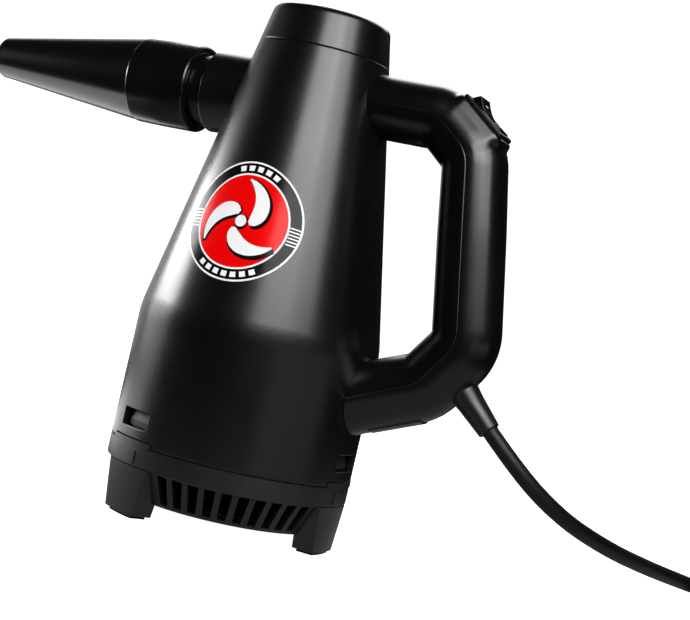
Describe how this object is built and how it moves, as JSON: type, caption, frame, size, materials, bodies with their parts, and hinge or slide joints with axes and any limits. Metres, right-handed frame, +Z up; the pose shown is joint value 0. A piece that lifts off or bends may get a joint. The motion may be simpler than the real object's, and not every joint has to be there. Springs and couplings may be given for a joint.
{
  "type": "car dryer blower",
  "caption": "Handheld electric air blower: tapered upright barrel with vented feet, side nozzle, loop handle with rocker switch, and a coiled mains cord.",
  "frame": {"origin": "on the floor, under the middle of the box round the object without its cord", "axes": "+Z up, -X the way the nozzle points, +X the handle side"},
  "size_m": [0.5648, 0.4196, 0.2806],
  "materials": {
    "shell_black": "satin, finely textured",
    "handle_black": "satin, finely textured",
    "base_black": "satin, finely textured",
    "nozzle_rubber": "matt, soft",
    "rubber_black": "matt",
    "cord_black": "matt, slightly grained",
    "switch_gloss": "glossy",
    "label_red": "glossy printed label",
    "foam_grey": "open-cell foam",
    "inner_plastic": "moulded",
    "steel": "machined",
    "lamination": "stacked sheet steel",
    "copper": "enamelled wire",
    "carbon": "pressed carbon",
    "brass_metal": "plain",
    "aluminium_cast": "cast",
    "lead_red": "smooth",
    "lead_white": "smooth",
    "nickel": "plated"
  },
  "bodies": {
    "housing": {"body_shell": "shell_black", "top_cap": "shell_black", "outlet_tube": "shell_black", "handle_front": "handle_black", "handle_back": "handle_black", "handle_plate": "handle_black", "handle_screws": "steel", "badge": "label_red", "switch_bezel": "switch_gloss", "switch_body": "inner_plastic", "switch_terminals": "brass_metal", "fan_guard": "inner_plastic", "guard_screws": "steel", "lower_mount": "rubber_black", "fan_case": "aluminium_cast", "diffuser": "inner_plastic", "stator_core": "lamination", "field_coils": "copper", "lower_bracket": "aluminium_cast", "upper_bracket": "aluminium_cast", "bracket_screws": "steel", "lower_bearing": "steel", "upper_bearing": "steel", "brush_holders": "brass_metal", "brushes": "carbon", "brush_springs": "steel", "upper_mount": "rubber_black", "strain_relief": "rubber_black", "cord_tail": "cord_black", "cord_clamp": "inner_plastic", "lead_live": "lead_red", "lead_neutral": "lead_white", "lead_switched": "lead_red", "cord": "cord_black", "cord_coil": "cord_black", "cord_end": "cord_black", "plug_body": "rubber_black", "plug_blades": "nickel"},
    "nozzle": {"nozzle": "nozzle_rubber"},
    "rocker": {"switch_rocker": "switch_gloss"},
    "base": {"base_cover": "base_black", "foot_pad_1": "rubber_black", "foot_pad_2": "rubber_black", "foot_pad_3": "rubber_black", "filter_foam": "foam_grey"},
    "rotor": {"shaft": "steel", "armature_core": "lamination", "armature_winding": "copper", "commutator": "copper", "impeller": "aluminium_cast", "impeller_nut": "steel"}
  },
  "joints": [
    {"name": "nozzle_pull", "type": "slide", "parent": "housing", "child": "nozzle", "axis": [-0.9998, 0, -0.0209], "range_m": [0, 0.035]},
    {"name": "rocker_tip", "type": "hinge", "parent": "housing", "child": "rocker", "pos_m": [0.13009, 0, 0.24019], "axis": [0, -1, 0], "range_deg": [0, 23]},
    {"name": "base_drop", "type": "slide", "parent": "housing", "child": "base", "axis": [0, 0, -1], "range_m": [0, 0.06]},
    {"name": "rotor_spin", "type": "hinge", "parent": "housing", "child": "rotor", "pos_m": [0.03325, 0, 0.12], "axis": [0, 0, 1], "continuous": true}
  ]
}
